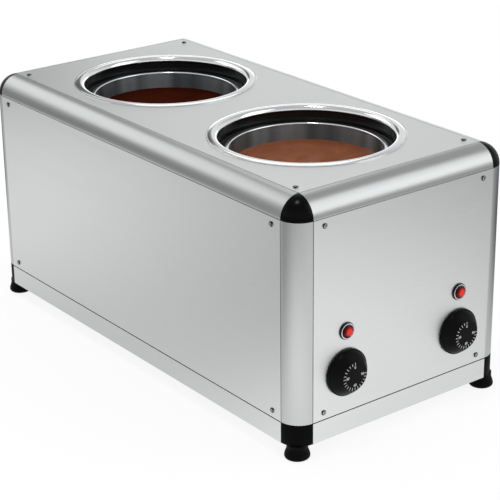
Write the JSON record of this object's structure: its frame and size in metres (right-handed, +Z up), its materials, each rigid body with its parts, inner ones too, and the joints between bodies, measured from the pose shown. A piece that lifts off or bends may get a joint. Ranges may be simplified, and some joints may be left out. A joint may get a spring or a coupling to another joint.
{
  "type": "chocolate melting tank",
  "caption": "Countertop chocolate melting tank: long steel case on a rounded aluminium frame, round heated wells with lift-out pots in the top, dials and pilot lamps on the short front.",
  "frame": {"origin": "on the ground under the middle of the tank, in the plane of the feet", "axes": "+Z up, -Y out of the short control face with the dials, +Y along the length to the rear, +X to the right as seen from the front"},
  "size_m": [0.3032, 0.6307, 0.2948],
  "materials": {
    "satin_aluminium": "satin anodised extrusion",
    "black_plastic": "moulded, semi-gloss black",
    "foot_rubber": "moulded black rubber",
    "brushed_steel": "fine lengthwise brush",
    "seal_silicone": "black silicone",
    "polished_steel": "polished deep-drawn stainless steel",
    "pot_steel": "spun stainless steel",
    "milk_chocolate": "melted milk chocolate",
    "dark_chocolate": "melted dark chocolate",
    "heater_silicone": "silicone heating mat",
    "mineral_wool": "pressed mineral wool",
    "knob_plastic": "moulded black, white dial marks",
    "plated_steel": "zinc-plated steel",
    "thermostat_body": "steatite and plated steel",
    "copper": "drawn copper",
    "chrome": "chrome plated",
    "red_lens": "clear red moulded lens",
    "gland_nylon": "black nylon",
    "terminal_plastic": "ivory nylon",
    "wire_insulation": "silicone-covered wire"
  },
  "bodies": {
    "case": {"post_front_left": "satin_aluminium", "post_front_right": "satin_aluminium", "post_rear_left": "satin_aluminium", "post_rear_right": "satin_aluminium", "rail_left": "satin_aluminium", "rail_right": "satin_aluminium", "rail_front": "satin_aluminium", "rail_rear": "satin_aluminium", "corner_cap_front_left": "black_plastic", "corner_cap_front_right": "black_plastic", "corner_cap_rear_left": "black_plastic", "corner_cap_rear_right": "black_plastic", "foot_block_front_left": "black_plastic", "foot_block_front_right": "black_plastic", "foot_block_rear_left": "black_plastic", "foot_block_rear_right": "black_plastic", "foot_front_left": "foot_rubber", "foot_front_right": "foot_rubber", "foot_rear_left": "foot_rubber", "foot_rear_right": "foot_rubber", "top_panel": "brushed_steel", "front_panel": "brushed_steel", "rear_panel": "brushed_steel", "left_panel": "brushed_steel", "right_panel": "brushed_steel", "base_pan": "brushed_steel", "well_front": "polished_steel", "well_rear": "polished_steel", "well_seal_front": "seal_silicone", "well_seal_rear": "seal_silicone", "heating_mat_front": "heater_silicone", "heating_mat_rear": "heater_silicone", "insulation_front": "mineral_wool", "insulation_rear": "mineral_wool", "thermostat_left": "thermostat_body", "thermostat_right": "thermostat_body", "sensor_front": "copper", "sensor_rear": "copper", "lamp_bezel_left": "chrome", "lamp_bezel_right": "chrome", "lamp_lens_left": "red_lens", "lamp_lens_right": "red_lens", "lamp_nuts": "plated_steel", "cable_gland": "gland_nylon", "gland_dome_cap": "gland_nylon", "gland_lock_nut": "gland_nylon", "terminal_block": "terminal_plastic", "wiring_harness": "wire_insulation", "panel_screws": "plated_steel", "base_screws": "plated_steel", "foot_screws": "plated_steel", "thermostat_screws": "plated_steel"},
    "front_pot": {"pot_front": "pot_steel", "chocolate_front": "milk_chocolate"},
    "rear_pot": {"pot_rear": "pot_steel", "chocolate_rear": "dark_chocolate"},
    "left_dial": {"knob_left": "knob_plastic", "thermostat_shaft_left": "plated_steel"},
    "right_dial": {"knob_right": "knob_plastic", "thermostat_shaft_right": "plated_steel"}
  },
  "joints": [
    {"name": "left_dial_turn", "type": "hinge", "parent": "case", "child": "left_dial", "pos_m": [-0.081, -0.3, 0.0885], "axis": [0, 1, 0], "range_deg": [0, 270]},
    {"name": "right_dial_turn", "type": "hinge", "parent": "case", "child": "right_dial", "pos_m": [0.081, -0.3, 0.0885], "axis": [0, 1, 0], "range_deg": [0, 270]},
    {"name": "front_pot_lift", "type": "slide", "parent": "case", "child": "front_pot", "axis": [0, 0, 1], "range_m": [0, 0.2]},
    {"name": "rear_pot_lift", "type": "slide", "parent": "case", "child": "rear_pot", "axis": [0, 0, 1], "range_m": [0, 0.2]}
  ]
}
